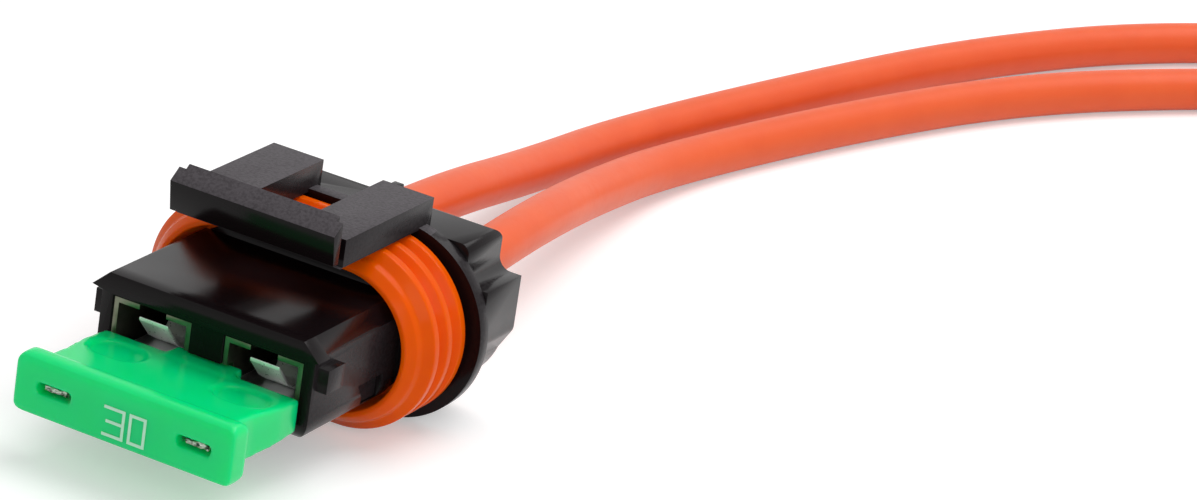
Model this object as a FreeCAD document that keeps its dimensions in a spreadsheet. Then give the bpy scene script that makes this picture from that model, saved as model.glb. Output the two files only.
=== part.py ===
import FreeCAD, Part
import math
import operator
import os
import Sketcher

# Sealed inline holder for one blade fuse, with two leads.
# +Y runs from the fuse to the leads, +Z is up, and X = 0 is the plane of symmetry.
# The origin lies on the surface that the flange stands on, in the middle of the flange's thickness.

Vector = FreeCAD.Vector
doc = FreeCAD.newDocument("FuseHolder")
sheet = doc.addObject("Spreadsheet::Sheet", "Sizes")

# Lengths and volumes that differ by less than this count as equal.
TINY = 0.001
# A cut starts or ends this far outside what it cuts.
PAST = 0.5


class Size:
    """A length that carries its formula in the sheet's cells beside its value."""

    def __init__(self, value, formula):
        self.value = value
        self.formula = formula

    def joined(self, sign, work, other, swapped=False):
        if not isinstance(other, Size):
            other = Size(float(other), str(float(other)))
        first, second = (other, self) if swapped else (self, other)
        return Size(work(first.value, second.value), f"({first.formula} {sign} {second.formula})")

    def __add__(self, other):
        return self.joined("+", operator.add, other)

    def __radd__(self, other):
        return self.joined("+", operator.add, other, True)

    def __sub__(self, other):
        return self.joined("-", operator.sub, other)

    def __rsub__(self, other):
        return self.joined("-", operator.sub, other, True)

    def __mul__(self, other):
        return self.joined("*", operator.mul, other)

    def __rmul__(self, other):
        return self.joined("*", operator.mul, other, True)

    def __truediv__(self, other):
        return self.joined("/", operator.truediv, other)

    def __neg__(self):
        return 0.0 - self


def driving(**lengths):
    """Writes each driving dimension to a cell of its own and returns them as sizes."""
    sizes = []
    for name, value in lengths.items():
        row = len(sheet.getUsedCells()) + 1
        sheet.set(f"A{row}", str(value))
        sheet.setAlias(f"A{row}", name)
        sizes.append(Size(float(value), f"{sheet.Name}.{name}"))
    doc.recompute()
    return sizes


def bind(item, name, size):
    """Binds one property to its formula."""
    if isinstance(size, Size):
        item.setExpression(name, size.formula)
    else:
        setattr(item, name, size)


def sketch_on(body, name, plane, distance):
    """Starts a sketch on the body's origin plane, moved along that plane's normal."""
    sketch = body.newObject("Sketcher::SketchObject", name)
    for feature in body.Origin.OriginFeatures:
        if feature.Role == plane:
            sketch.AttachmentSupport = [(feature, "")]
    sketch.MapMode = "FlatFace"
    bind(sketch, "AttachmentOffset.Base.z", distance + 0.0)
    return sketch


def section(body, name, depth):
    """A sketch square to the fuse's way in, at depth along Y."""
    return sketch_on(body, name, "XZ_Plane", -depth)


def side_view(body, name, across):
    """A sketch seen from the side, drawn in Y and Z, at across along X."""
    return sketch_on(body, name, "YZ_Plane", across)


def plan(body, name, height):
    """A sketch seen from above, at height along Z."""
    return sketch_on(body, name, "XY_Plane", height)


def place_point(sketch, curve, end, across, up):
    """Ties one end of a curve to its distances from the sketch's origin."""
    for kind, size in (("DistanceX", across + 0.0), ("DistanceY", up + 0.0)):
        rule = sketch.addConstraint(Sketcher.Constraint(kind, -1, 1, curve, end, size.value))
        sketch.setExpression(f"Constraints[{rule}]", size.formula)


def polygon(sketch, corners):
    """Draws a closed outline through corners."""
    first = sketch.GeometryCount
    count = len(corners)
    spots = [Vector(across.value, up.value, 0) for across, up in corners]
    for index in range(count):
        sketch.addGeometry(Part.LineSegment(spots[index], spots[(index + 1) % count]), False)
    for index, (across, up) in enumerate(corners):
        following = first + (index + 1) % count
        sketch.addConstraint(Sketcher.Constraint("Coincident", first + index, 2, following, 1))
        place_point(sketch, first + index, 1, across, up)


def rectangle(sketch, left, right, low, high):
    polygon(sketch, [(left, low), (right, low), (right, high), (left, high)])


def mirrored(corners):
    """Closes a right-hand outline with its mirror image."""
    return corners + [(-across, up) for across, up in reversed(corners)]


def circle(sketch, across, up, radius):
    centre = Vector(across.value, up.value, 0)
    curve = sketch.addGeometry(Part.Circle(centre, Vector(0, 0, 1), radius.value), False)
    place_point(sketch, curve, 3, across, up)
    rule = sketch.addConstraint(Sketcher.Constraint("Radius", curve, radius.value))
    sketch.setExpression(f"Constraints[{rule}]", radius.formula)


def racetrack(sketch, width, height, across, up):
    """Draws two half circles joined by straight runs, about the point across and up."""
    radius = height / 2
    reach = (width - height) / 2
    turn = math.pi / 2
    upright = Vector(0, 0, 1)
    ends = [across + reach, across - reach]
    centres = [Vector(end.value, up.value, 0) for end in ends]
    shift = Vector(0, radius.value, 0)
    right, left = [Part.Circle(centre, upright, radius.value) for centre in centres]
    first = sketch.addGeometry(Part.ArcOfCircle(right, -turn, turn), False)
    sketch.addGeometry(Part.LineSegment(centres[0] + shift, centres[1] + shift), False)
    sketch.addGeometry(Part.ArcOfCircle(left, turn, 3 * turn), False)
    sketch.addGeometry(Part.LineSegment(centres[1] - shift, centres[0] - shift), False)
    for index in range(4):
        joint = (first + index, 2, first + (index + 1) % 4, 1)
        sketch.addConstraint(Sketcher.Constraint("Tangent", *joint))
    place_point(sketch, first, 3, ends[0], up)
    place_point(sketch, first + 2, 3, ends[1], up)
    rule = sketch.addConstraint(Sketcher.Constraint("Radius", first, radius.value))
    sketch.setExpression(f"Constraints[{rule}]", radius.formula)


def pad(body, name, sketch, length, reverse=True):
    """Adds material from the sketch, backwards from a section unless told otherwise."""
    feature = body.newObject("PartDesign::Pad", name)
    feature.Profile = sketch
    feature.Reversed = reverse
    bind(feature, "Length", length)
    return feature


def pad_across(body, name, sketch, width):
    """Adds material to both sides of a side view or a plan."""
    feature = body.newObject("PartDesign::Pad", name)
    feature.Profile = sketch
    feature.Midplane = True
    bind(feature, "Length", width)
    return feature


def pocket(body, name, sketch, length, middle=False, reverse=False):
    """Cuts backwards from a section, or to both sides of a side view or a plan."""
    feature = body.newObject("PartDesign::Pocket", name)
    feature.Profile = sketch
    feature.Midplane = middle
    feature.Reversed = reverse
    bind(feature, "Length", length)
    return feature


def near(number, size):
    """True where a coordinate equals a size."""
    return abs(number - size.value) < TINY


def rounded(body, name, base, across, up, radius):
    """Rounds the edges along Y that lie at a height and at a distance to either side."""
    doc.recompute()
    names = []
    for index, edge in enumerate(base.Shape.Edges, 1):
        ends = [vertex.Point for vertex in edge.Vertexes]
        there = all(near(abs(end.x), across) and near(end.z, up) for end in ends)
        if isinstance(edge.Curve, Part.Line) and there:
            names.append(f"Edge{index}")
    feature = body.newObject("PartDesign::Fillet", name)
    feature.Base = (base, names)
    bind(feature, "Radius", radius)
    return feature


def body_of(name):
    body = doc.addObject("PartDesign::Body", name)
    body.Label = name
    return body


# Driving dimensions: the housing from its flange forwards and backwards
flange_width, flange_height, flange_thick = driving(flange_width=27.8, flange_height=16.0, flange_thick=1.2)
rear_length, rear_width, rear_rise, rear_drop = driving(
    rear_length=5.2, rear_width=22.4, rear_rise=7.3, rear_drop=6.7)
rear_spread, rear_corner = driving(rear_spread=25.2, rear_corner=0.8)
grip_width, grip_rise, grip_foot, grip_slope, grip_round = driving(
    grip_width=26.6, grip_rise=4.1, grip_foot=0.4, grip_slope=2.2, grip_round=1.1)
seat_width, seat_height, seat_length = driving(seat_width=20.6, seat_height=10.0, seat_length=4.6)
nose_width, nose_height, nose_length = driving(nose_width=18.9, nose_height=8.7, nose_length=12.55)
nose_top, nose_band, nose_radius = driving(nose_top=17.2, nose_band=1.35, nose_radius=2.4)
nose_lift, fuse_drop = driving(nose_lift=1.75, fuse_drop=2.0)
eave_width, eave_length, eave_reach, eave_thick = driving(
    eave_width=20.1, eave_length=1.6, eave_reach=0.6, eave_thick=1.6)
lug_reach, lug_height, lug_length, lug_setback, lug_drop = driving(
    lug_reach=0.9, lug_height=1.9, lug_length=2.3, lug_setback=0.6, lug_drop=0.8)
side_depth, side_front, side_length, side_height, side_lean = driving(
    side_depth=0.55, side_front=7.0, side_length=3.6, side_height=2.0, side_lean=1.3)
side_rise = driving(side_rise=0.5)[0]

# The latch
rail_spread, rail_gap, rail_thick, rail_clear = driving(
    rail_spread=14.54, rail_gap=5.38, rail_thick=2.25, rail_clear=0.09)
bar_front, bar_height, bar_lean, bar_depth = driving(bar_front=13.0, bar_height=2.46, bar_lean=0.45, bar_depth=2.5)
bar_drop, ridge_back, ridge_rise, ridge_flank = driving(
    bar_drop=1.73, ridge_back=1.5, ridge_rise=1.86, ridge_flank=0.2)
bar_groove, groove_width, groove_back = driving(bar_groove=0.6, groove_width=0.8, groove_back=1.1)
rail_end, leg_width, leg_root = driving(rail_end=1.74, leg_width=1.2, leg_root=0.2)

# The ring seal on its seat
rib_rise, rib_valley, rib_pitch, rib_crest, rib_setback = driving(
    rib_rise=2.55, rib_valley=1.8, rib_pitch=1.95, rib_crest=0.7, rib_setback=0.85)
lip_reach, lip_step, lip_rise, lip_thick = driving(lip_reach=2.4, lip_step=0.25, lip_rise=0.65, lip_thick=0.4)
bead_rise, bead_setback = driving(bead_rise=1.65, bead_setback=0.7)
ring_gap, fit_gap = driving(ring_gap=0.05, fit_gap=0.05)

# The fuse
head_width, head_thick, head_depth, head_round = driving(
    head_width=19.1, head_thick=4.9, head_depth=2.2, head_round=0.8)
body_thick, body_taper, body_waist, body_width = driving(
    body_thick=3.9, body_taper=0.6, body_waist=16.6, body_width=17.4)
shoulder, waist_end, flare_end, fuse_stop = driving(shoulder=10.5, waist_end=4.6, flare_end=7.9, fuse_stop=0.12)
tongue_width, tongue_thick, tongue_length, tongue_root = driving(
    tongue_width=5.9, tongue_thick=3.1, tongue_length=1.1, tongue_root=1.0)
tongue_side, tongue_level = driving(tongue_side=0.15, tongue_level=0.2)
dish_width, dish_length, dish_depth, dish_pitch, dish_place = driving(
    dish_width=4.6, dish_length=3.4, dish_depth=0.35, dish_pitch=11.0, dish_place=7.4)
probe_set, probe_width, probe_height = driving(probe_set=1.1, probe_width=3.0, probe_height=0.9)
blade_width, blade_thick, blade_inset, fuse_length = driving(
    blade_width=5.2, blade_thick=0.65, blade_inset=0.3, fuse_length=18.7)
blade_taper, taper_length, element_front = driving(blade_taper=0.9, taper_length=1.4, element_front=1.3)
tab_width, tab_length, link_front, link_rise = driving(tab_width=3.2, tab_length=2.3, link_front=4.2, link_rise=1.8)
link_leg, link_width, link_gap = driving(link_leg=0.8, link_width=0.9, link_gap=0.9)

# The terminals, their springs, the cable seals and the secondary lock
terminal_pitch, blade_room, terminal_height, terminal_length = driving(
    terminal_pitch=9.9, blade_room=0.83, terminal_height=4.8, terminal_length=7.2)
terminal_setback, sheet_metal, contact_gap = driving(terminal_setback=0.15, sheet_metal=0.4, contact_gap=0.05)
roof_slot, roof_slot_length, strip_width, strip_gap = driving(
    roof_slot=2.4, roof_slot_length=4.4, strip_width=2.0, strip_gap=0.8)
spring_width, spring_thick, spring_mouth, spring_dip = driving(
    spring_width=2.6, spring_thick=0.3, spring_mouth=0.95, spring_dip=0.7)
spring_fall, spring_touch, spring_leave, spring_rest = driving(
    spring_fall=1.8, spring_touch=3.0, spring_leave=4.0, spring_rest=6.0)
cavity_gap, cavity_slack, room_gap = driving(cavity_gap=0.1, cavity_slack=0.25, room_gap=0.35)
bore_length, core_length, core_lead, seal_grip, jacket_lead = driving(
    bore_length=8.15, core_length=2.4, core_lead=0.4, seal_grip=2.3, jacket_lead=0.45)
tip_gap = driving(tip_gap=0.3)[0]
neck_wall, root_step, seal_rib, seal_length, seal_foot = driving(
    neck_wall=0.45, root_step=0.4, seal_rib=0.65, seal_length=5.0, seal_foot=0.2)
lead_radius, core_radius, core_bar, bare_end = driving(lead_radius=2.0, core_radius=1.2, core_bar=2.1, bare_end=8.0)
lock_width, lock_height, lock_thick, lock_clear = driving(
    lock_width=20.4, lock_height=10.4, lock_thick=1.2, lock_clear=0.3)
tab_place, tab_half, tab_rise, tab_root = driving(tab_place=1.65, tab_half=0.45, tab_rise=0.9, tab_root=1.0)

ZERO = Size(0.0, "0.0")
axis = flange_height / 2
flange_front = -flange_thick / 2
rear_front = flange_front + flange_thick
rear_face = rear_front + rear_length
rear_high = axis + rear_rise
seat_front = flange_front - seat_length
nose_front = seat_front - nose_length
fuse_level = axis - fuse_drop
nose_low = fuse_level + nose_lift - nose_height / 2
nose_high = nose_low + nose_height
brow = nose_high - nose_band
seal_base = axis + seat_height / 2 + ring_gap
rail_low = seal_base + rib_rise + rail_clear
rail_high = rail_low + rail_thick
rail_back = flange_front + rail_end
bar_face = flange_front - bar_front
bar_back = bar_face + bar_depth
bar_low = rail_high - bar_drop
plate_front = bar_face + ridge_back
ridge = rail_high + ridge_rise
shoulder_end = nose_front - fuse_stop
head_front = shoulder_end - shoulder
head_back = head_front + head_depth
tongue_end = shoulder_end + tongue_length
blade_outer = terminal_pitch / 2 - blade_inset + blade_width / 2
blade_inner = blade_outer - blade_width
blade_tip = head_front + fuse_length
terminal_half = blade_width / 2 + blade_room
box_front = nose_front + terminal_setback
box_end = box_front + terminal_length
box_low = fuse_level - blade_thick / 2 - contact_gap - sheet_metal
box_high = box_low + terminal_height
roof = box_high - sheet_metal
bore_front = rear_face - bore_length
jacket_front = bore_front - seal_grip - jacket_lead
crimp_end = jacket_front - strip_gap
crimp_front = crimp_end - core_length
core_front = crimp_front - core_lead
seal_hole = lead_radius + fit_gap
seal_neck = seal_hole + neck_wall
seal_barrel = seal_neck + fit_gap + sheet_metal
seal_root = seal_neck + root_step
bore_radius = seal_root + seal_rib + fit_gap
core_barrel = core_bar / 2 + fit_gap + sheet_metal
room_half = seal_barrel + room_gap
lock_front = rear_face - lock_thick


# Housing: one nylon moulding, from the nose back to the rear body
housing = body_of("housing")
nose = section(housing, "nose_section", nose_front)
polygon(nose, mirrored([(nose_width / 2, nose_low), (nose_width / 2, brow), (nose_top / 2, nose_high)]))
nose_pad = pad(housing, "nose", nose, nose_length)
rounded(housing, "nose_corners", nose_pad, nose_width / 2, nose_low, nose_radius)

# The top runs forward as an eave over the fuse's shoulder.
eave = section(housing, "eave_section", nose_front - eave_reach)
polygon(eave, mirrored([
    (nose_top / 2, nose_high - eave_thick),
    (eave_width / 2, brow),
    (nose_top / 2, nose_high)]))
pad(housing, "eave", eave, eave_length)

lugs = section(housing, "lug_section", nose_front + lug_setback)
lug_high = brow - lug_drop
for side in (1, -1):
    rectangle(lugs, side * nose_top / 2, side * (nose_width / 2 + lug_reach), lug_high - lug_height, lug_high)
pad(housing, "lugs", lugs, lug_length)

seat = section(housing, "seat_section", seat_front)
racetrack(seat, seat_width, seat_height, ZERO, axis)
pad(housing, "seal_seat", seat, seat_length)

flange = section(housing, "flange_section", flange_front)
racetrack(flange, flange_width, flange_height, ZERO, axis)
pad(housing, "flange", flange, flange_thick)

# Rear body: a half-round underside, a square top and a finger grip on each side
under = section(housing, "rear_underside", rear_front)
racetrack(under, rear_spread, 2 * rear_drop, ZERO, axis)
pad(housing, "rear_under", under, rear_length)
block = section(housing, "rear_block_section", rear_front)
rectangle(block, -rear_width / 2, rear_width / 2, axis, rear_high)
pad(housing, "rear_block", block, rear_length)
grips = section(housing, "grip_section", rear_front)
polygon(grips, mirrored([
    (rear_width / 2, axis - grip_foot - grip_slope),
    (rear_width / 2 + rear_corner, axis - grip_foot - grip_slope),
    (grip_width / 2, axis - grip_foot),
    (grip_width / 2, axis + grip_rise)]))
grip_pad = pad(housing, "grips", grips, rear_length)
hollows = rounded(housing, "grip_hollows", grip_pad, rear_width / 2, axis + grip_rise, grip_round)
shoulders = rounded(housing, "rear_shoulders", hollows, rear_width / 2, rear_high, rear_corner)
rounded(housing, "grip_feet", shoulders, grip_width / 2, axis - grip_foot, grip_round)

# Latch: two rails that stand on legs behind the seal, bridged in front by a bar with a leaning face
rails = plan(housing, "latch_plan", rail_low)
polygon(rails, mirrored([
    (rail_spread / 2, plate_front),
    (rail_spread / 2, rail_back),
    (rail_gap / 2, rail_back),
    (rail_gap / 2, bar_back)]))
legs = section(housing, "leg_section", flange_front)
for side in (1, -1):
    rectangle(legs, side * (rail_spread / 2 - leg_width), side * rail_spread / 2,
              rear_high - leg_root, rail_low + leg_root)
pad(housing, "latch_legs", legs, rail_end)
pad(housing, "latch_rails", rails, rail_thick, False)
bar = side_view(housing, "bar_profile", ZERO)
polygon(bar, [
    (bar_face + bar_lean, bar_low),
    (bar_back, bar_low),
    (bar_back, rail_high),
    (plate_front + ridge_flank, rail_high),
    (plate_front, ridge),
    (bar_face, bar_low + bar_height)])
pad_across(housing, "latch_bar", bar, rail_spread)

# A narrow groove parts each end of the bar from its rail.
for side, name in ((1, "right"), (-1, "left")):
    groove = plan(housing, f"{name}_groove", bar_low - PAST)
    rectangle(groove, side * (rail_spread / 2 - bar_groove), side * (rail_spread / 2 + PAST),
              bar_face + groove_back, bar_face + groove_back + groove_width)
    pocket(housing, f"{name}_groove_cut", groove, ridge - bar_low + 2 * PAST, reverse=True)

# A shallow recess in each side of the nose, in front of the seal's lip
for side, name in ((1, "right"), (-1, "left")):
    recess = side_view(housing, f"{name}_recess", side * (nose_width / 2 - side_depth))
    recess_front = nose_front + side_front
    recess_high = fuse_level + side_rise
    polygon(recess, [
        (recess_front, recess_high),
        (recess_front + side_length, recess_high),
        (recess_front + side_length, recess_high - side_height),
        (recess_front + side_lean, recess_high - side_height)])
    pocket(housing, f"{name}_recess_cut", recess, side_depth + PAST, reverse=side > 0)

# Inside: a cavity for each terminal, then the room for its crimps and the bore for its seal
cavities = section(housing, "cavity_section", nose_front - PAST)
crimps = section(housing, "crimp_section", box_end - fit_gap)
bores = section(housing, "bore_section", bore_front)
for side in (1, -1):
    centre = side * terminal_pitch / 2
    reach = terminal_half + cavity_gap
    rectangle(cavities, centre - reach, centre + reach, box_low - cavity_gap, box_high + cavity_gap)
    rectangle(crimps, centre - room_half, centre + room_half, axis - room_half, axis + room_half)
    circle(bores, centre, axis, bore_radius)
pocket(housing, "terminal_cavities", cavities, box_end - nose_front + cavity_slack + PAST)
pocket(housing, "crimp_rooms", crimps, bore_front - box_end + PAST)
pocket(housing, "seal_bores", bores, bore_length + PAST)

relief = section(housing, "tongue_relief", nose_front - PAST)
clear = tongue_width / 2 + tongue_side
step = tongue_thick / 2 + tongue_level
rectangle(relief, -clear, clear, fuse_level - step, fuse_level + step)
pocket(housing, "tongue_room", relief, tongue_end - nose_front + tongue_side + PAST)

# The secondary lock drops into a seat in the rear face, with a notch above for its tab.
lock_seat = section(housing, "lock_seat", lock_front)
racetrack(lock_seat, lock_width, lock_height, ZERO, axis)
pocket(housing, "lock_room", lock_seat, lock_thick + PAST)
notch = section(housing, "lock_notch", lock_front)
notch_half = tab_half + 2 * fit_gap
tab_low = axis + lock_height / 2 - tab_root
rectangle(notch, tab_place - notch_half, tab_place + notch_half, tab_low, rear_high + PAST)
pocket(housing, "lock_notch_cut", notch, lock_thick + PAST)

# Ring seal: a lip in front, a low bead and three ribs, swept round the seat
ring_seal = body_of("ring_seal")
ring_end = flange_front - ring_gap
ring_path = section(ring_seal, "ring_path", ring_end)
racetrack(ring_path, seat_width + 2 * ring_gap, seat_height + 2 * ring_gap, ZERO, axis)
profile = side_view(ring_seal, "ring_profile", ZERO)
lip_front = seat_front - lip_reach
last_crest = ring_end - rib_setback
outline = [
    (ring_end, seal_base),
    (seat_front, seal_base),
    (seat_front, seal_base + lip_step),
    (lip_front, seal_base + lip_rise),
    (lip_front, seal_base + lip_rise + lip_thick),
    (lip_front + bead_setback, seal_base + bead_rise)]
for place in (2, 1, 0):
    crest = last_crest - rib_pitch * place
    outline += [
        (crest - rib_pitch / 2, seal_base + rib_valley),
        (crest - rib_crest / 2, seal_base + rib_rise),
        (crest + rib_crest / 2, seal_base + rib_rise)]
outline.append((ring_end, seal_base + rib_valley))
polygon(profile, outline)
doc.recompute()
ring = ring_seal.newObject("PartDesign::AdditivePipe", "ring")
ring.Profile = profile
ring.Spine = (ring_path, ["Edge1", "Edge2", "Edge3", "Edge4"])

# Terminals: stamped boxes with a roof slot, a square core crimp and a round seal crimp
for side, name in ((-1, "left"), (1, "right")):
    terminal = body_of(f"terminal_{name}")
    box = section(terminal, f"{name}_box", box_front)
    rectangle(box, -terminal_half, terminal_half, box_low, box_high)
    pad(terminal, f"{name}_box_pad", box, terminal_length)
    hollow = section(terminal, f"{name}_hollow", box_front - PAST)
    inner = terminal_half - sheet_metal
    rectangle(hollow, -inner, inner, box_low + sheet_metal, roof)
    pocket(terminal, f"{name}_hollow_cut", hollow, terminal_length + 2 * PAST)
    slot = section(terminal, f"{name}_roof_slot", box_front - PAST)
    rectangle(slot, -(roof_slot / 2), roof_slot / 2, roof - contact_gap, box_high + PAST)
    pocket(terminal, f"{name}_roof_cut", slot, roof_slot_length + PAST)
    gap = section(terminal, f"{name}_tongue_gap", box_front - PAST)
    gap_side = -side * (terminal_pitch / 2 - clear)
    rectangle(gap, -side * (terminal_half + PAST), gap_side, box_low - PAST, fuse_level + step)
    pocket(terminal, f"{name}_tongue_cut", gap, tongue_end - box_front + tongue_side + PAST)
    floor = side_view(terminal, f"{name}_floor", ZERO)
    heights = [
        (box_end - sheet_metal, box_low),
        (blade_tip + tip_gap, box_low),
        (crimp_front, axis - core_barrel),
        (crimp_end, axis - core_barrel),
        (bore_front - seal_grip, axis - seal_barrel),
        (bore_front - contact_gap, axis - seal_barrel)]
    raised = [(depth, height + sheet_metal) for depth, height in reversed(heights)]
    polygon(floor, heights + raised)
    pad_across(terminal, f"{name}_floor_pad", floor, strip_width)
    core = section(terminal, f"{name}_core_section", crimp_front)
    rectangle(core, -core_barrel, core_barrel, axis - core_barrel, axis + core_barrel)
    pad(terminal, f"{name}_core_crimp", core, core_length)
    wrap = section(terminal, f"{name}_wrap_section", bore_front - seal_grip)
    circle(wrap, ZERO, axis, seal_barrel)
    pad(terminal, f"{name}_seal_crimp", wrap, seal_grip - contact_gap)
    core_hole =section(terminal, f"{name}_core_hole", crimp_front - PAST)
    core_room = core_bar / 2 + fit_gap
    rectangle(core_hole, -core_room, core_room, axis - core_room, axis + core_room)
    pocket(terminal, f"{name}_core_bore", core_hole, core_length + 2 * PAST)
    wrap_hole = section(terminal, f"{name}_wrap_hole", bore_front - seal_grip)
    circle(wrap_hole, ZERO, axis, seal_neck + fit_gap)
    pocket(terminal, f"{name}_wrap_bore", wrap_hole, seal_grip)
    bind(terminal, "Placement.Base.x", side * terminal_pitch / 2)

    # Contact spring: a strip that dips from the roof to the blade and turns up again at the mouth
    spring = body_of(f"contact_spring_{name}")
    strip = side_view(spring, f"{name}_strip", ZERO)
    touch = fuse_level + blade_thick / 2 + contact_gap
    below = [
        (box_front + spring_thick, roof - spring_mouth),
        (box_front + spring_fall, touch + spring_dip),
        (box_front + spring_touch, touch),
        (box_front + spring_leave, touch),
        (box_front + spring_rest, roof - spring_thick),
        (box_end, roof - spring_thick)]
    above = [(depth, height + spring_thick) for depth, height in reversed(below)]
    polygon(strip, below + above)
    pad_across(spring, f"{name}_strip_pad", strip, spring_width)
    bind(spring, "Placement.Base.x", side * terminal_pitch / 2)

    # Cable seal: a silicone sleeve with three ribs, gripped by the terminal at its neck
    seal = body_of(f"cable_seal_{name}")
    half_profile = side_view(seal, f"{name}_seal_profile", ZERO)
    seal_start = bore_front - seal_grip
    shape = [(seal_start, seal_hole), (seal_start, seal_neck), (bore_front, seal_neck)]
    rib_length = (seal_length - seal_foot) / 3
    for place in range(3):
        foot = bore_front + seal_foot + place * rib_length
        shape += [(foot, seal_root), (foot + rib_length / 2, seal_root + seal_rib)]
    shape += [(bore_front + seal_length, seal_root), (bore_front + seal_length, seal_hole)]
    polygon(half_profile, shape)
    turned = seal.newObject("PartDesign::Revolution", f"{name}_seal_turned")
    turned.Profile = half_profile
    turned.ReferenceAxis = (half_profile, ["H_Axis"])
    turned.Angle = 360
    bind(seal, "Placement.Base.x", side * terminal_pitch / 2)
    bind(seal, "Placement.Base.z", axis)

# Secondary lock: a plate behind the cable seals, with a tab that shows above the rear body
secondary_lock = body_of("secondary_lock")
plate = section(secondary_lock, "lock_section", lock_front)
racetrack(plate, lock_width - 2 * fit_gap, lock_height - 2 * fit_gap, ZERO, axis)
pad(secondary_lock, "lock_plate", plate, lock_thick)
tab = section(secondary_lock, "tab_section", lock_front)
rectangle(tab, tab_place - tab_half, tab_place + tab_half, tab_low, rear_high + tab_rise)
pad(secondary_lock, "lock_tab", tab, lock_thick)
lead_holes = section(secondary_lock, "lead_holes", lock_front - PAST)
for side in (1, -1):
    circle(lead_holes, side * terminal_pitch / 2, axis, lead_radius + lock_clear)
pocket(secondary_lock, "lead_hole_cuts", lead_holes, lock_thick + 2 * PAST)

# Fuse body: a head with rounded corners, a waisted body that thins backwards and a tongue between the blades
fuse_body = body_of("fuse_body")
head = section(fuse_body, "head_section", head_front)
rectangle(head, -head_width / 2, head_width / 2, fuse_level - head_thick / 2, fuse_level + head_thick / 2)
head_pad = pad(fuse_body, "head", head, head_depth)
head_low = rounded(fuse_body, "head_feet", head_pad, head_width / 2, fuse_level - head_thick / 2, head_round)
rounded(fuse_body, "head_shoulders", head_low, head_width / 2, fuse_level + head_thick / 2, head_round)
waist = plan(fuse_body, "waist_plan", fuse_level)
polygon(waist, mirrored([
    (body_width / 2, shoulder_end),
    (body_width / 2, head_front + flare_end),
    (body_waist / 2, head_front + waist_end),
    (body_waist / 2, head_back)]))
pad_across(fuse_body, "fuse_waist", waist, body_thick)
for level, name in ((1, "upper"), (-1, "lower")):
    wedge = side_view(fuse_body, f"{name}_wedge", ZERO)
    polygon(wedge, [
        (head_back, fuse_level + level * body_thick / 2),
        (shoulder_end, fuse_level + level * (body_thick / 2 - body_taper)),
        (shoulder_end + PAST, fuse_level + level * (body_thick / 2 - body_taper)),
        (shoulder_end + PAST, fuse_level + level * (body_thick / 2 + PAST)),
        (head_back, fuse_level + level * (body_thick / 2 + PAST))])
    pocket(fuse_body, f"{name}_wedge_cut", wedge, body_width + 2 * PAST, middle=True)
tongue = plan(fuse_body, "tongue_plan", fuse_level)
rectangle(tongue, -(tongue_width / 2), tongue_width / 2, shoulder_end - tongue_root, tongue_end)
pad_across(fuse_body, "tongue", tongue, tongue_thick)
dish_share = (dish_place - head_depth) / (shoulder - head_depth)
for level, name in ((1, "upper"), (-1, "lower")):
    dish_floor = body_thick / 2 - body_taper * dish_share - dish_depth
    dishes = plan(fuse_body, f"{name}_dishes", fuse_level + level * dish_floor)
    for side in (1, -1):
        racetrack(dishes, dish_width, dish_length, side * dish_pitch / 2, head_front + dish_place)
    pocket(fuse_body, f"{name}_dish_cuts", dishes, dish_depth + PAST, reverse=level > 0)
probes = section(fuse_body, "probe_slots", head_front - PAST)
for side in (1, -1):
    middle = side * (blade_outer - probe_set)
    rectangle(probes, middle - probe_width / 2, middle + probe_width / 2,
              fuse_level - probe_height / 2, fuse_level + probe_height / 2)
pocket(fuse_body, "probe_slot_cuts", probes, element_front + PAST)
element_room = section(fuse_body, "element_room", head_front + element_front - fit_gap)
slot_half = blade_outer + fit_gap
slot_height = blade_thick / 2 + fit_gap
rectangle(element_room, -slot_half, slot_half, fuse_level - slot_height, fuse_level + slot_height)
pocket(fuse_body, "element_slot", element_room, tongue_end - head_front)

# Fuse element: two blades with probe tabs, and the arched link between them, stamped from one strip
fuse_element = body_of("fuse_element")
stamp = plan(fuse_element, "element_plan", fuse_level)
tab_front = head_front + element_front
arch = head_front + link_front
link_out = link_gap / 2 + link_width
polygon(stamp, mirrored([
    (link_gap / 2, arch + link_width),
    (link_gap / 2, arch + link_rise + link_leg),
    (blade_inner, arch + link_rise + link_leg),
    (blade_inner, blade_tip - taper_length),
    (blade_inner + blade_taper, blade_tip),
    (blade_outer - blade_taper, blade_tip),
    (blade_outer, blade_tip - taper_length),
    (blade_outer, tab_front),
    (blade_outer - tab_width, tab_front),
    (blade_outer - tab_width, tab_front + tab_length),
    (blade_inner, arch + link_rise / 2),
    (blade_inner, arch + link_rise),
    (link_out, arch + link_rise),
    (link_out, arch)]))
pad_across(fuse_element, "element", stamp, blade_thick)

# Leads: straight out of the rear, down to the surface and off to the right
floor_level = lead_radius.value
ROUTES = {
    "right": [
        (2.0, 29.1, 7.7), (-1.9, 48.6, 3.4), (-2.3, 62.6, floor_level), (4.0, 84.1, floor_level),
        (12.4, 106.6, floor_level), (25.0, 124.6, floor_level), (39.0, 139.6, floor_level)],
    "left": [
        (-5.3, 29.6, 7.6), (-8.3, 49.6, 3.1), (-8.6, 64.6, floor_level), (-2.6, 87.1, floor_level),
        (4.2, 111.1, floor_level), (15.4, 133.6, floor_level), (31.0, 149.1, floor_level)]}
EXIT_PLACE = 9.8
ARC_SHARE = 0.45


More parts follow.
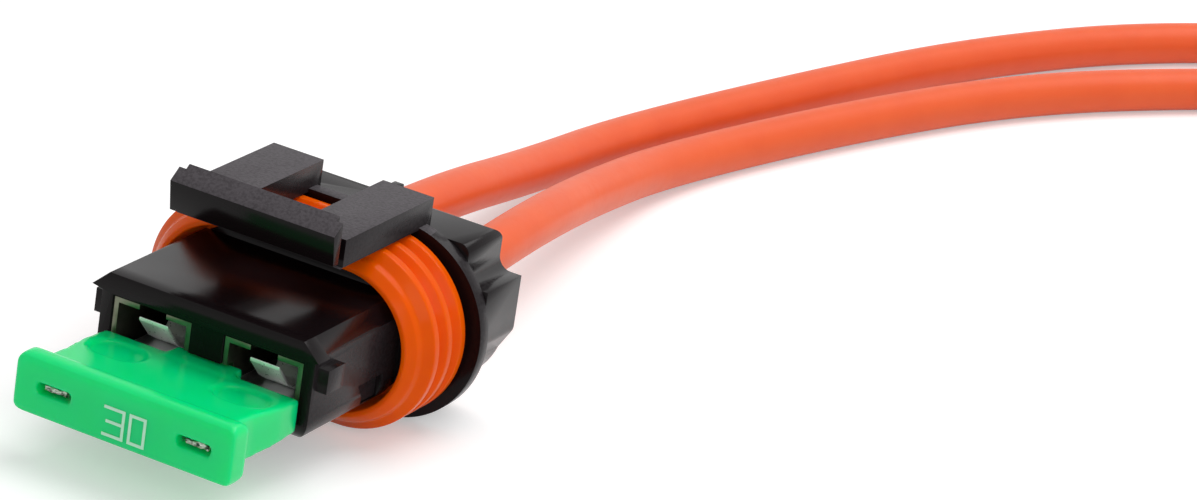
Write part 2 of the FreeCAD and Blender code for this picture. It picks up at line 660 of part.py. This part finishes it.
def rounded_path(name, points):
    """Joins straight runs with tangent arcs, each as large as its two runs allow."""
    edges = []
    radii = []
    last = points[0]
    for before, corner, after in zip(points, points[1:], points[2:]):
        arriving = (corner - before).normalize()
        leaving = (after - corner).normalize()
        turn = arriving.getAngle(leaving)
        cut = ARC_SHARE * min((corner - before).Length, (after - corner).Length)
        radius = cut / math.tan(turn / 2)
        start, end = corner - arriving * cut, corner + leaving * cut
        inward = (leaving - arriving).normalize()
        middle = corner + inward * (radius / math.cos(turn / 2) - radius)
        edges.append(Part.LineSegment(last, start).toShape())
        edges.append(Part.Arc(start, middle, end).toShape())
        radii.append(round(radius, 1))
        last = end
    edges.append(Part.LineSegment(last, points[-1]).toShape())
    path = doc.addObject("Part::Feature", name)
    path.Shape = Part.Wire(edges)
    print(name, "radii", radii, "length", round(path.Shape.Length, 1))
    return path


jackets = []
for side, name in ((-1, "left"), (1, "right")):
    across = (side * terminal_pitch / 2).value
    begin = Vector(across, jacket_front.value, axis.value)
    points = [begin, Vector(across, EXIT_PLACE, axis.value)] + [Vector(*point) for point in ROUTES[name]]
    along = (points[-1] - points[-2]).normalize()
    points[-1] = points[-1] - along * bare_end.value
    path = rounded_path(f"{name}_path", points)
    ring_section = doc.addObject("Part::Circle", f"{name}_section")
    bind(ring_section, "Radius", lead_radius)
    ring_section.Placement = FreeCAD.Placement(begin, FreeCAD.Rotation(Vector(0, 0, 1), Vector(0, 1, 0)))
    jacket = doc.addObject("Part::Sweep", f"lead_{name}_jacket")
    jacket.Sections = [ring_section]
    jacket.Spine = (path, [f"Edge{index + 1}" for index in range(len(path.Shape.Edges))])
    jacket.Solid = True
    jacket.Frenet = False
    jackets.append((jacket, path))

    # The copper shows twice: crimped square in the terminal, and bare at the far end.
    crimped = doc.addObject("Part::Box", f"{name}_crimped")
    bind(crimped, "Length", core_bar)
    bind(crimped, "Width", jacket_front - core_front)
    bind(crimped, "Height", core_bar)
    bind(crimped, "Placement.Base.x", side * terminal_pitch / 2 - core_bar / 2)
    bind(crimped, "Placement.Base.y", core_front)
    bind(crimped, "Placement.Base.z", axis - core_bar / 2)
    bare = doc.addObject("Part::Cylinder", f"{name}_bare")
    bind(bare, "Radius", core_radius)
    bind(bare, "Height", bare_end)
    bare.Placement = FreeCAD.Placement(points[-1], FreeCAD.Rotation(Vector(0, 0, 1), along))
    conductor = doc.addObject("Part::Compound", f"lead_{name}_conductor")
    conductor.Links = [crimped, bare]

NODES = [
    "housing", "ring_seal", "terminal_left", "terminal_right", "contact_spring_left", "contact_spring_right",
    "cable_seal_left", "cable_seal_right", "secondary_lock", "lead_left_jacket", "lead_right_jacket",
    "lead_left_conductor", "lead_right_conductor", "fuse_body", "fuse_element"]

doc.recompute()
for item in doc.Objects:
    if "Invalid" in item.State or "Error" in item.State:
        raise RuntimeError(f"{item.Name} failed: {item.State}")
    if item.TypeId == "PartDesign::Pocket" and item.Shape.Volume > item.BaseFeature.Shape.Volume - TINY:
        raise RuntimeError(f"{item.Name} cuts nothing")
for jacket, path in jackets:
    expected = math.pi * lead_radius.value ** 2 * path.Shape.Length
    print(jacket.Name, "volume over section times length", round(jacket.Shape.Volume / expected, 4))

os.makedirs("parts", exist_ok=True)
for name in NODES:
    node = doc.getObject(name)
    node.Label = name
    if node.Shape.isNull() or not node.Shape.isValid():
        raise RuntimeError(f"{name} has no valid shape")
    print(name, len(node.Shape.Solids), "solid", round(node.Shape.Volume, 1), "mm3")
    node.Shape.exportStep(f"parts/{name}.step")
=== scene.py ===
from math import cos, pi, radians, sin

import bpy
from mathutils import Matrix, Vector


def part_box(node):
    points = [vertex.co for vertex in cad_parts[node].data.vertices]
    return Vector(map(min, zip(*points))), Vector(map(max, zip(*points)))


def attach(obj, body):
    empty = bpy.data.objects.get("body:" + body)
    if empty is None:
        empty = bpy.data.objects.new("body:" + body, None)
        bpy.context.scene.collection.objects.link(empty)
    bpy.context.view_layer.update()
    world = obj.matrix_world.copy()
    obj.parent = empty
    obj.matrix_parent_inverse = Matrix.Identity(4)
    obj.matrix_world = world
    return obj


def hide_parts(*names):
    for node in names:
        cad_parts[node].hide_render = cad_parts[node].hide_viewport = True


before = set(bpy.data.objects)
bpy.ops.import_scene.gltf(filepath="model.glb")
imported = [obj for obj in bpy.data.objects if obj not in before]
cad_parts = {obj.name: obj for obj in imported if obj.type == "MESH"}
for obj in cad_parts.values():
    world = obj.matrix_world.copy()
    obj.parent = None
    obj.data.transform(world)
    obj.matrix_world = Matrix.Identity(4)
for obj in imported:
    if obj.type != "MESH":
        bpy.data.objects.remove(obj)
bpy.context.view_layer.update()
MM = 0.001

# Camera: a long lens to the right of the fuse's end, a little above the part, turned slightly about its own
# line of sight. The picture is 1197 by 500 pixels and the lens is 5000 of those pixels long.
PICTURE_WIDTH = 1197
LENS_IN_PIXELS = 5000
SENSOR_WIDTH = 36
CAMERA_PLACE = Vector((172.813, -313.847, 154.582)) * MM
CAMERA_TURN, CAMERA_FALL, CAMERA_ROLL = radians(25.6329), radians(21.3202), radians(9.0168)
bpy.ops.object.camera_add()
camera = bpy.context.object
camera.matrix_world = (
    Matrix.Translation(CAMERA_PLACE)
    @ Matrix.Rotation(CAMERA_TURN, 4, "Z")
    @ Matrix.Rotation(pi / 2 - CAMERA_FALL, 4, "X")
    @ Matrix.Rotation(CAMERA_ROLL, 4, "Z"))
camera.data.sensor_width = SENSOR_WIDTH
camera.data.lens = SENSOR_WIDTH * LENS_IN_PIXELS / PICTURE_WIDTH
bpy.context.scene.camera = camera
bpy.context.scene.view_settings.view_transform = "Standard"


# Light: an even white room, which is weaker as a source of light than it looks, and two broad soft lamps,
# the stronger one high up over the leads and the weaker one beside the camera.
class Number:
    """A number on a shader's socket. A sum, difference or product of numbers adds Math nodes."""

    def __init__(self, tree, socket):
        self.tree = tree
        self.socket = socket

    def joined(self, operation, other, swapped=False):
        """Adds one Math node for this number and another, which comes first if they are swapped."""
        step = self.tree.nodes.new("ShaderNodeMath")
        step.operation = operation
        for place, item in enumerate((other, self) if swapped else (self, other)):
            put(step.inputs[place], item)
        return Number(self.tree, step.outputs[0])

    def __add__(self, other):
        return self.joined("ADD", other)

    def __radd__(self, other):
        return self.joined("ADD", other, True)

    def __sub__(self, other):
        return self.joined("SUBTRACT", other)

    def __rsub__(self, other):
        return self.joined("SUBTRACT", other, True)

    def __mul__(self, other):
        return self.joined("MULTIPLY", other)

    def __rmul__(self, other):
        return self.joined("MULTIPLY", other, True)

    def above(self, edge, softness):
        """Rises from 0 to 1 as this number passes the edge."""
        return node(self.tree, "ShaderNodeMapRange", {"interpolation_type": "SMOOTHSTEP"},
                    Value=self, From_Min=edge - softness, From_Max=edge + softness)


def put(socket, item):
    """Links a number to a socket, or sets a plain value there."""
    if isinstance(item, Number):
        item.tree.links.new(item.socket, socket)
    else:
        socket.default_value = item


def node(tree, kind, settings=None, output=0, **sockets):
    """Adds a node: its settings first, then its sockets, whose names have underscores for spaces."""
    made = tree.nodes.new(kind)
    for name, value in (settings or {}).items():
        setattr(made, name, value)
    for name, item in sockets.items():
        put(made.inputs[name.replace("_", " ")], item)
    return Number(tree, made.outputs[output]) if made.outputs else None


def looked_at(tree):
    """1 for rays from the eye, from reflections and through clear things, and 0 for light on a surface."""
    eye, mirror, through = [node(tree, "ShaderNodeLightPath", output=ray) for ray in
                            ("Is Camera Ray", "Is Glossy Ray", "Is Transmission Ray")]
    return eye + mirror + through


WHITE = (1, 1, 1, 1)
ROOM_LIGHT = 0.42
room = bpy.data.worlds.new("white_room")
bpy.context.scene.world = room
room.use_nodes = True
room.node_tree.nodes.clear()
brightness = ROOM_LIGHT + (1 - ROOM_LIGHT) * looked_at(room.node_tree)
sky = node(room.node_tree, "ShaderNodeBackground", Strength=brightness, Color=WHITE)
node(room.node_tree, "ShaderNodeOutputWorld", Surface=sky)

LAMPS = (
    ("high_lamp", Vector((0.12, 0.18, 0.48)), 0.4, 1.75),
    ("side_lamp", Vector((0.30, -0.32, 0.22)), 0.25, 0.40))
for lamp_name, place, size, watts in LAMPS:
    bpy.ops.object.light_add(type="AREA", location=place)
    lamp = bpy.context.object
    lamp.name = lamp_name
    lamp.data.size = size
    lamp.data.energy = watts
    lamp.rotation_euler = place.to_track_quat("Z", "Y").to_euler()

# Floor: a plain pale sheet that keeps the part's soft shadow. A faint glow, seen only by the eye and in
# reflections, lifts it to white elsewhere.
FLOOR_SIZE, FLOOR_SHADE, FLOOR_LIFT = 4.0, 0.8, 0.36
bpy.ops.mesh.primitive_plane_add(size=FLOOR_SIZE)
floor = bpy.context.object
floor.name = "floor"
paper = bpy.data.materials.new("pale_paper")
paper.use_nodes = True
tree = paper.node_tree
tree.nodes.clear()
matt = node(tree, "ShaderNodeBsdfDiffuse", Color=(FLOOR_SHADE, FLOOR_SHADE, FLOOR_SHADE, 1))
glow = node(tree, "ShaderNodeEmission", Strength=FLOOR_LIFT * looked_at(tree), Color=WHITE)
both = tree.nodes.new("ShaderNodeAddShader")
put(both.inputs[0], matt)
put(both.inputs[1], glow)
node(tree, "ShaderNodeOutputMaterial", Surface=Number(tree, both.outputs[0]))
floor.data.materials.append(paper)


# Housing: one black glass-filled nylon moulding. Its tool is eroded by sparks on top of the latch, lightly
# on the sides and least on the rear, and polished on the nose's top and on the faces towards the fuse.
# The colour follows the grain and is partly painted light: the latch's upward faces are painted pale, as
# if lit from above, and the faces towards the fuse are painted darkest, as painted shade.
class Finish:
    """A material of its own: plain values on the surface's sockets, which patterns may take over."""

    def __init__(self, name, color, **sockets):
        self.material = bpy.data.materials.new(name)
        self.material.use_nodes = True
        self.tree = self.material.node_tree
        self.surface = self.tree.nodes["Principled BSDF"]
        self.place = node(self.tree, "ShaderNodeTexCoord", output="Object")
        self.set(Base_Color=(*color, 1), **sockets)

    def set(self, **sockets):
        """Puts numbers or plain values on the surface's sockets."""
        for name, item in sockets.items():
            put(self.surface.inputs[name.replace("_", " ")], item)

    def add(self, kind, settings=None, output=0, **sockets):
        """Adds a node to this material."""
        return node(self.tree, kind, settings, output, **sockets)

    def grain(self, size, detail=2.0, y_scale=1.0):
        """Noise from 0 to 1 in patches about size wide, which a y_scale below 1 draws out along Y."""
        spread = self.add("ShaderNodeMapping", Vector=self.place, Scale=(1, y_scale, 1))
        return self.add("ShaderNodeTexNoise", Vector=spread, Scale=1 / size, Detail=detail)

    def tint(self, amount, dark, light):
        """A colour between dark and light."""
        mix = self.tree.nodes.new("ShaderNodeMix")
        mix.data_type = "RGBA"
        put(mix.inputs["Factor"], amount)
        put(mix.inputs["A"], (*dark, 1))
        put(mix.inputs["B"], (*light, 1))
        return Number(self.tree, mix.outputs["Result"])

    def relief(self, height, depth, strength):
        """Turns a height from 0 to 1 into a bump of that depth."""
        self.set(Normal=self.add("ShaderNodeBump", Height=height, Distance=depth, Strength=strength))

    def on(self, piece):
        """Gives the whole piece this material alone."""
        piece.data.materials.clear()
        piece.data.materials.append(self.material)
        for face in getattr(piece.data, "polygons", ()):
            face.material_index = 0


def shaped(piece, kind, **settings):
    """Adds one modifier to the piece and applies it."""
    change = piece.modifiers.new(kind.lower(), kind)
    for name, value in settings.items():
        setattr(change, name, value)
    bpy.ops.object.modifier_apply(modifier=change.name)


SAME_PLACE = 0.002 * MM
SAME_PLANE = radians(0.3)


def merged_copy(source, name):
    """A CAD node's mesh as a piece of its own: corners merged, flats joined, and alone selected."""
    bpy.ops.object.select_all(action="DESELECT")
    piece = bpy.data.objects.new(name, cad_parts[source].data.copy())
    bpy.context.collection.objects.link(piece)
    piece.select_set(True)
    bpy.context.view_layer.objects.active = piece
    bpy.ops.object.mode_set(mode="EDIT")
    bpy.ops.mesh.select_all(action="SELECT")
    bpy.ops.mesh.remove_doubles(threshold=SAME_PLACE)
    bpy.ops.mesh.dissolve_limited(angle_limit=SAME_PLANE)
    bpy.ops.object.mode_set(mode="OBJECT")
    return piece


def dressed(source, name, body, edge=0.12 * MM, steps=2, sharp=28):
    """Makes a piece from a CAD node's mesh, with its sharp edges rounded, then smoothed."""
    piece = merged_copy(source, name)
    shaped(piece, "BEVEL", width=edge, segments=steps, limit_method="ANGLE", angle_limit=radians(sharp),
           use_clamp_overlap=True)
    bpy.ops.object.shade_smooth_by_angle(angle=radians(sharp))
    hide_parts(source)
    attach(piece, body)
    return piece


LOOKS_UP, LOOKS_FORWARD = 0.3, -0.6
LATCH_FOOT, SEAT_FRONT, FLANGE_BACK = 15.66, -5.2, 0.6
POLISH_AND_PAINTED_SHADE, REAR_GRAIN, SIDE_GRAIN, LATCH_GRAIN_AND_PAINTED_LIGHT = 0, 0.05, 0.22, 1
housing = dressed("housing", "housing_moulding", "holder")
# This mask is partly real grain and partly painted light: it goes by which way each face looks, so the
# latch's upward faces get painted light and the faces towards the fuse get painted shade.
grain_and_painted_light_mask = housing.data.attributes.new("grain_and_painted_light_mask", "FLOAT", "FACE")
for face in housing.data.polygons:
    on_latch = face.center.z / MM > LATCH_FOOT
    on_nose = face.center.y / MM < SEAT_FRONT and not on_latch
    upward = face.normal.z > LOOKS_UP
    if (face.normal.y < LOOKS_FORWARD and not upward) or (on_nose and upward):
        grain_and_painted_light_mask.data[face.index].value = POLISH_AND_PAINTED_SHADE
    elif on_latch and upward:
        grain_and_painted_light_mask.data[face.index].value = LATCH_GRAIN_AND_PAINTED_LIGHT
    elif face.center.y / MM > FLANGE_BACK:
        grain_and_painted_light_mask.data[face.index].value = REAR_GRAIN
    else:
        grain_and_painted_light_mask.data[face.index].value = SIDE_GRAIN
nylon = Finish("black_nylon", (0.012, 0.011, 0.012), IOR=1.5, Specular_IOR_Level=0.12)
grain_and_painted_light = nylon.add("ShaderNodeAttribute", {"attribute_name": "grain_and_painted_light_mask"}, output="Fac")
cloud = nylon.grain(size=2.4 * MM, detail=3.0)
fine = nylon.grain(size=0.10 * MM)
coarse = nylon.grain(size=0.24 * MM, detail=4.0)
# Paleness follows the mask: the grain's tone, with painted light on the latch's upward faces and painted
# shade on the faces towards the fuse.
paleness = grain_and_painted_light * (0.85 + 1.5 * (coarse - 0.5) + 0.3 * (cloud - 0.5))
nylon.set(
    Roughness=0.18 + 0.34 * grain_and_painted_light + 0.08 * (cloud - 0.5),
    Base_Color=nylon.tint(paleness, dark=(0.0060, 0.0036, 0.0042), light=(0.080, 0.071, 0.078)))
nylon.relief((fine * 0.6 + coarse) * grain_and_painted_light, depth=0.045 * MM, strength=0.7)
nylon.on(housing)

# Secondary lock: a black nylon plate of its own, pressed in behind the cable seals so that neither they nor
# the terminals can back out. Only its tab shows from outside, behind the latch.
secondary_lock = dressed("secondary_lock", "secondary_lock_plate", "holder", edge=0.1 * MM)
nylon.on(secondary_lock)

# Ring seal: orange silicone, moulded in one piece with a thin front lip, a low bead and three round ribs,
# and stretched over the seat. Its skin is oily smooth, so the ribs carry bright lines.
ring_seal = dressed("ring_seal", "ring_seal_ribs", "holder",
                    edge=0.36 * MM, steps=5, sharp=12)
bpy.ops.object.shade_smooth()
silicone = Finish(
    "orange_silicone", (0.88, 0.105, 0.0), Roughness=0.2, IOR=1.43, Specular_IOR_Level=0.1,
    Subsurface_Weight=0.4, Subsurface_Radius=(1.0, 0.3, 0.05), Subsurface_Scale=0.8 * MM)
blush = silicone.grain(size=3.0 * MM)
silicone.set(
    Base_Color=silicone.tint(blush, dark=(0.82, 0.090, 0.0), light=(0.93, 0.120, 0.0)),
    Roughness=0.11 + 0.10 * silicone.grain(size=0.8 * MM, detail=3.0))
silicone.relief(silicone.grain(size=1.1 * MM), depth=0.03 * MM, strength=0.5)
silicone.on(ring_seal)

# Cable seals: two short ribbed sleeves of the same silicone, one on each lead. The terminals' rear crimps
# grip their necks, and their ribs press on the walls of the rear bores.
SIDES = ("left", "right")
for side in SIDES:
    sleeve = dressed(f"cable_seal_{side}", f"cable_seal_{side}_sleeve", "holder",
                     edge=0.15 * MM, steps=3, sharp=20)
    silicone.on(sleeve)

# Terminals: brass strip, tin plated, folded into a box for the blade and two crimps behind it. They are
# pushed in from the rear and held by the secondary lock.
STRIP_EDGE = 0.05 * MM
# The tin is painted far darker than plated tin is: painted shade for the cavity under the nose, where the
# terminals sit.
tin = Finish("tinned_brass", (0.24, 0.24, 0.19), Metallic=1.0, Roughness=0.35)
wash = tin.grain(size=1.2 * MM, detail=3.0)
drawn = tin.grain(size=0.25 * MM, y_scale=0.08)
tin.set(
    Base_Color=tin.tint(wash, dark=(0.09, 0.10, 0.06), light=(0.22, 0.22, 0.17)),
    Roughness=0.26 + 0.22 * drawn)
tin.relief(drawn, depth=0.01 * MM, strength=0.6)
for side in SIDES:
    terminal = dressed(f"terminal_{side}", f"terminal_{side}_stamping", "holder",
                       edge=STRIP_EDGE)
    tin.on(terminal)

# Contact springs: strips of spring steel, folded over the mouths of the terminals, which press on the
# fuse's blades from above. Their near-white, half-metal colour is a painted highlight of the top light.
steel = Finish("spring_steel", (0.93, 0.93, 0.91), Metallic=0.45, Roughness=0.3)
rolled = steel.grain(size=0.2 * MM, y_scale=0.06)
steel.set(
    Base_Color=steel.tint(rolled, dark=(0.88, 0.88, 0.86), light=(0.97, 0.97, 0.96)),
    Roughness=0.22 + 0.16 * rolled)
for side in SIDES:
    spring = dressed(f"contact_spring_{side}", f"contact_spring_{side}_strip", "holder",
                     edge=STRIP_EDGE)
    steel.on(spring)

# Strands: nineteen thin copper wires in each lead, laid in two rings round a middle one with a slight
# twist. Their last 8 mm are bare, and their front ends are pressed square in the terminals' crimps. The
# leads' routes run straight out of the rear, sink to the surface and bend away to the right.
BARE_LENGTH = 8.0 * MM
ROUTES = {
    "right": [
        (4.95, -5.1, 8.0), (4.95, 9.8, 8.0), (3.2, 26.0, 7.6), (-0.7, 45.0, 4.2), (-2.0, 61.5, 2.0),
        (4.0, 84.1, 2.0), (12.4, 106.6, 2.0), (25.0, 124.6, 2.0), (39.0, 139.6, 2.0)],
    "left": [
        (-4.95, -5.1, 8.0), (-4.95, 9.8, 8.0), (-5.6, 27.0, 7.1), (-7.8, 46.5, 3.5), (-8.1, 64.0, 2.0),
        (-2.6, 87.1, 2.0), (4.2, 111.1, 2.0), (15.4, 133.6, 2.0), (31.0, 149.1, 2.0)]}
STRAND_RADIUS = 0.232 * MM
STRAND_SIDES, STRAND_CUTS = 10, 10
STRAND_TWIST, STRAND_SMOOTH = radians(70), radians(40)
RINGS = ((1, 0.0), (6, 2.0), (12, 3.87))
copper = Finish("bare_copper", (0.72, 0.34, 0.18), Metallic=1.0, Roughness=0.3)
copper.set(
    Base_Color=copper.tint(copper.grain(size=0.6 * MM, detail=3.0),
                           dark=(0.60, 0.26, 0.13), light=(0.82, 0.42, 0.24)),
    Roughness=0.24 + 0.2 * copper.grain(size=0.3 * MM))


def insulated_route(side):
    """A lead's control points as far as its insulation goes, and the way that the bare strands go on."""
    points = [Vector(point) * MM for point in ROUTES[side]]
    onward = (points[-1] - points[-2]).normalized()
    points[-1] = points[-1] - onward * BARE_LENGTH
    return points, onward


def joined_pieces(pieces, name):
    """Joins pieces into the first of them, under a new name."""
    bpy.ops.object.select_all(action="DESELECT")
    for piece in pieces:
        piece.select_set(True)
    bpy.context.view_layer.objects.active = pieces[0]
    bpy.ops.object.join()
    bpy.context.object.name = name
    return bpy.context.object


def strand_bundle(name):
    """The bare strands, standing on the origin along +Z."""
    strands = []
    for count, ring in RINGS:
        for number in range(count):
            around = 2 * pi * number / count
            foot = Vector((cos(around), sin(around), 0)) * ring * STRAND_RADIUS
            bpy.ops.object.select_all(action="DESELECT")
            bpy.ops.mesh.primitive_circle_add(
                vertices=STRAND_SIDES, radius=STRAND_RADIUS, fill_type="NGON", location=foot)
            bpy.ops.object.transform_apply(location=True, rotation=False, scale=False)
            bpy.ops.object.mode_set(mode="EDIT")
            bpy.ops.mesh.select_all(action="SELECT")
            for _ in range(STRAND_CUTS):
                bpy.ops.mesh.extrude_region_move(
                    TRANSFORM_OT_translate={"value": (0, 0, BARE_LENGTH / STRAND_CUTS)})
            bpy.ops.mesh.select_all(action="SELECT")
            bpy.ops.mesh.normals_make_consistent(inside=False)
            bpy.ops.object.mode_set(mode="OBJECT")
            strands.append(bpy.context.object)
    bundle = joined_pieces(strands, name)
    shaped(bundle, "SIMPLE_DEFORM", deform_method="TWIST", deform_axis="Z", angle=STRAND_TWIST)
    return bundle


for side in ROUTES:
    points, onward = insulated_route(side)
    bundle = strand_bundle(f"lead_{side}_bare_strands")
    turned = onward.to_track_quat("Z", "Y").to_matrix().to_4x4()
    bundle.data.transform(Matrix.Translation(points[-1]) @ turned)
    pressed = merged_copy(f"lead_{side}_conductor", f"lead_{side}_strands")
    bpy.ops.object.mode_set(mode="EDIT")
    bpy.ops.mesh.select_all(action="DESELECT")
    bpy.ops.object.mode_set(mode="OBJECT")
    halfway = points[-1].y / 2
    for vertex in pressed.data.vertices:
        vertex.select = vertex.co.y > halfway
    bpy.ops.object.mode_set(mode="EDIT")
    bpy.ops.mesh.delete(type="VERT")
    bpy.ops.object.mode_set(mode="OBJECT")
    bundle.select_set(True)
    bpy.ops.object.join()
    bpy.ops.object.shade_smooth_by_angle(angle=STRAND_SMOOTH)
    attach(pressed, "holder")
    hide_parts(f"lead_{side}_conductor")
    copper.on(pressed)

# Insulation: thick coral-orange plastic, extruded smooth round the strands of each lead, and as stiff as
# such wire is. It starts inside the cable seals and is stripped off at the bare ends.
LEAD_DIAMETER = 4.0 * MM
ROUND_STEPS, LENGTH_STEPS = 8, 16
insulation = Finish(
    "orange_insulation", (0.86, 0.12, 0.028), Roughness=0.4, IOR=1.5, Specular_IOR_Level=0.28,
    Subsurface_Weight=0.15, Subsurface_Radius=(1.0, 0.3, 0.1), Subsurface_Scale=0.6 * MM)
haze = insulation.grain(size=4.0 * MM, detail=3.0)
insulation.set(
    Base_Color=insulation.tint(haze, dark=(0.82, 0.104, 0.024), light=(0.90, 0.136, 0.034)),
    Roughness=0.34 + 0.14 * insulation.grain(size=0.9 * MM, detail=3.0))
insulation.relief(insulation.grain(size=0.7 * MM, y_scale=0.25), depth=0.02 * MM, strength=0.5)
for side in ROUTES:
    points, _ = insulated_route(side)
    shape = bpy.data.curves.new(f"lead_{side}_insulation", "CURVE")
    shape.dimensions = "3D"
    shape.bevel_depth = LEAD_DIAMETER / 2
    shape.bevel_resolution = ROUND_STEPS
    shape.use_fill_caps = True
    line = shape.splines.new("NURBS")
    line.points.add(len(points) - 1)
    for control, point in zip(line.points, points):
        control.co = (*point, 1)
    line.order_u = 3
    line.use_endpoint_u = True
    line.resolution_u = LENGTH_STEPS
    lead = bpy.data.objects.new(shape.name, shape)
    bpy.context.collection.objects.link(lead)
    insulation.on(lead)
    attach(lead, "holder")
    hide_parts(f"lead_{side}_jacket")

# Fuse body: translucent green plastic, moulded over the stamped element. All the mould's corners are soft,
# a shallow dish lies over each blade, and each end of the head has a slot for a test probe.
VOXEL, SOFTENING = 0.13 * MM, 26
FACE_DEPTH, FACE_SINK = 0.15 * MM, 0.05 * MM
head_low, head_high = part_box("fuse_body")
fuse_body = merged_copy("fuse_body", "fuse_body_moulding")
shaped(fuse_body, "REMESH", mode="VOXEL", voxel_size=VOXEL)
shaped(fuse_body, "SMOOTH", factor=0.5, iterations=SOFTENING)
for vertex in fuse_body.data.vertices:
    if vertex.co.y < head_low.y + FACE_DEPTH:
        vertex.co.y += FACE_SINK
bpy.ops.object.shade_smooth()
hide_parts("fuse_body")
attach(fuse_body, "fuse")
green = Finish(
    "green_plastic", (0.0, 0.79, 0.23), Roughness=0.2, IOR=1.5, Specular_IOR_Level=0.25,
    Subsurface_Weight=0.75, Subsurface_Radius=(0.3, 1.0, 0.6), Subsurface_Scale=1.8 * MM)
depth_cloud = green.grain(size=4.5 * MM, detail=1.0)
green.set(
    Base_Color=green.tint(depth_cloud, dark=(0.0, 0.76, 0.21), light=(0.0, 0.82, 0.25)),
    Roughness=0.16 + 0.10 * green.grain(size=2.0 * MM, detail=1.0))
green.on(fuse_body)

# Rating: two plain digits, raised on the front of the head by the mould and printed over in pale ink. Their
# strokes are square, so each digit is a block of cells with some left out.
DIGIT_LOW, DIGIT_HIGH, STROKE = 4.32, 6.72, 0.24
DIGIT_DEPTH, DIGIT_EDGE, DIGIT_CORNER = 0.2 * MM, 0.03 * MM, radians(40)
DIGITS = (
    (-1.60, 0.26, ("###", "..#", ".##", "..#", "###")),
    (0.62, 2.12, ("###", "#.#", "#.#", "#.#", "###")))


def cell_edges(start, end, count):
    """Edges of a row of cells in which a stroke and a gap take turns."""
    strokes = (count + 1) // 2
    gap = (end - start - strokes * STROKE) / (strokes - 1)
    edges = [start]
    for number in range(count):
        edges.append(edges[-1] + (gap if number % 2 else STROKE))
    return edges


cells = []
for left, right, rows in DIGITS:
    columns = cell_edges(left, right, len(rows[0]))
    levels = cell_edges(DIGIT_LOW, DIGIT_HIGH, len(rows))
    for low, high, row in zip(levels, levels[1:], reversed(rows)):
        for start, end, mark in zip(columns, columns[1:], row):
            if mark == "#":
                bpy.ops.object.select_all(action="DESELECT")
                bpy.ops.mesh.primitive_plane_add(
                    size=1, location=((start + end) / 2 * MM, head_low.y, (low + high) / 2 * MM),
                    rotation=(pi / 2, 0, 0))
                bpy.context.object.scale = ((end - start) * MM, (high - low) * MM, 1)
                bpy.ops.object.transform_apply(location=True, rotation=True, scale=True)
                cells.append(bpy.context.object)
rating = joined_pieces(cells, "fuse_rating")
bpy.ops.object.mode_set(mode="EDIT")
bpy.ops.mesh.select_all(action="SELECT")
bpy.ops.mesh.remove_doubles(threshold=SAME_PLACE)
bpy.ops.mesh.dissolve_limited(angle_limit=SAME_PLANE)
bpy.ops.mesh.extrude_region_move(TRANSFORM_OT_translate={"value": (0, DIGIT_DEPTH, 0)})
bpy.ops.mesh.select_all(action="SELECT")
bpy.ops.mesh.normals_make_consistent(inside=False)
bpy.ops.object.mode_set(mode="OBJECT")
shaped(rating, "BEVEL", width=DIGIT_EDGE, segments=2, limit_method="ANGLE", angle_limit=DIGIT_CORNER)
ink = Finish("pale_green_ink", (0.55, 0.93, 0.68), Roughness=0.4, Specular_IOR_Level=0.3)
ink.set(Base_Color=ink.tint(ink.grain(size=0.5 * MM), dark=(0.50, 0.90, 0.64), light=(0.62, 0.95, 0.74)))
ink.on(rating)
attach(rating, "fuse")

# Fuse element: two blades and the thin link between them, stamped from one strip of plated zinc, with a tab
# beside each blade that reaches forward under the head's probe slot.
zinc = Finish("fuse_metal", (0.70, 0.70, 0.71), Metallic=1.0, Roughness=0.3)
zinc.set(
    Base_Color=zinc.tint(zinc.grain(size=1.5 * MM, detail=3.0),
                         dark=(0.60, 0.60, 0.61), light=(0.80, 0.80, 0.80)),
    Roughness=0.24 + 0.2 * zinc.grain(size=0.3 * MM, y_scale=0.1))
fuse_element = dressed("fuse_element", "fuse_element_strip", "fuse", edge=0.06 * MM)
zinc.on(fuse_element)

# Probe edges: the rough sheared edges of the two tabs, which show as torn metal in the slots. Their colour
# is
# painted: dark green as painted shade in the slots, with pale grey spots that are painted glints. A probe
# touches them to test the fuse while it is plugged in.
PROBE_PLACE, PROBE_WIDTH, PROBE_THICK = 6.2, 1.9, 0.34
PROBE_FRONT, PROBE_BACK = 0.6, 1.3
TEAR, TEAR_CUTS, TEAR_SEED = 0.13 * MM, 6, 2
probe_y = head_low.y + (PROBE_FRONT + PROBE_BACK) / 2 * MM
probe_z = (head_low.z + head_high.z) / 2
edges = []
for way in (-1, 1):
    bpy.ops.object.select_all(action="DESELECT")
    bpy.ops.mesh.primitive_cube_add(size=1, location=(way * PROBE_PLACE * MM, probe_y, probe_z))
    edge = bpy.context.object
    edge.scale = (PROBE_WIDTH * MM, (PROBE_BACK - PROBE_FRONT) * MM, PROBE_THICK * MM)
    bpy.ops.object.transform_apply(location=True, rotation=True, scale=True)
    bpy.ops.object.mode_set(mode="EDIT")
    bpy.ops.mesh.select_all(action="SELECT")
    bpy.ops.mesh.subdivide(number_cuts=TEAR_CUTS)
    bpy.ops.transform.vertex_random(offset=TEAR, seed=TEAR_SEED + way)
    bpy.ops.object.mode_set(mode="OBJECT")
    edges.append(edge)
probe_edges = joined_pieces(edges, "fuse_probe_edges")
torn = Finish("torn_fuse_metal", (0.30, 0.32, 0.28), Metallic=0.8, Roughness=0.45)
# Pale spots on a dark green ground: painted glints, and painted shade of the slot.
painted_glints = torn.grain(size=0.3 * MM, detail=3.0).above(0.5, softness=0.12)
torn.set(
    Base_Color=torn.tint(painted_glints, dark=(0.07, 0.10, 0.07), light=(0.62, 0.64, 0.58)),
    Roughness=0.35 + 0.3 * torn.grain(size=0.2 * MM))
torn.on(probe_edges)
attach(probe_edges, "fuse")
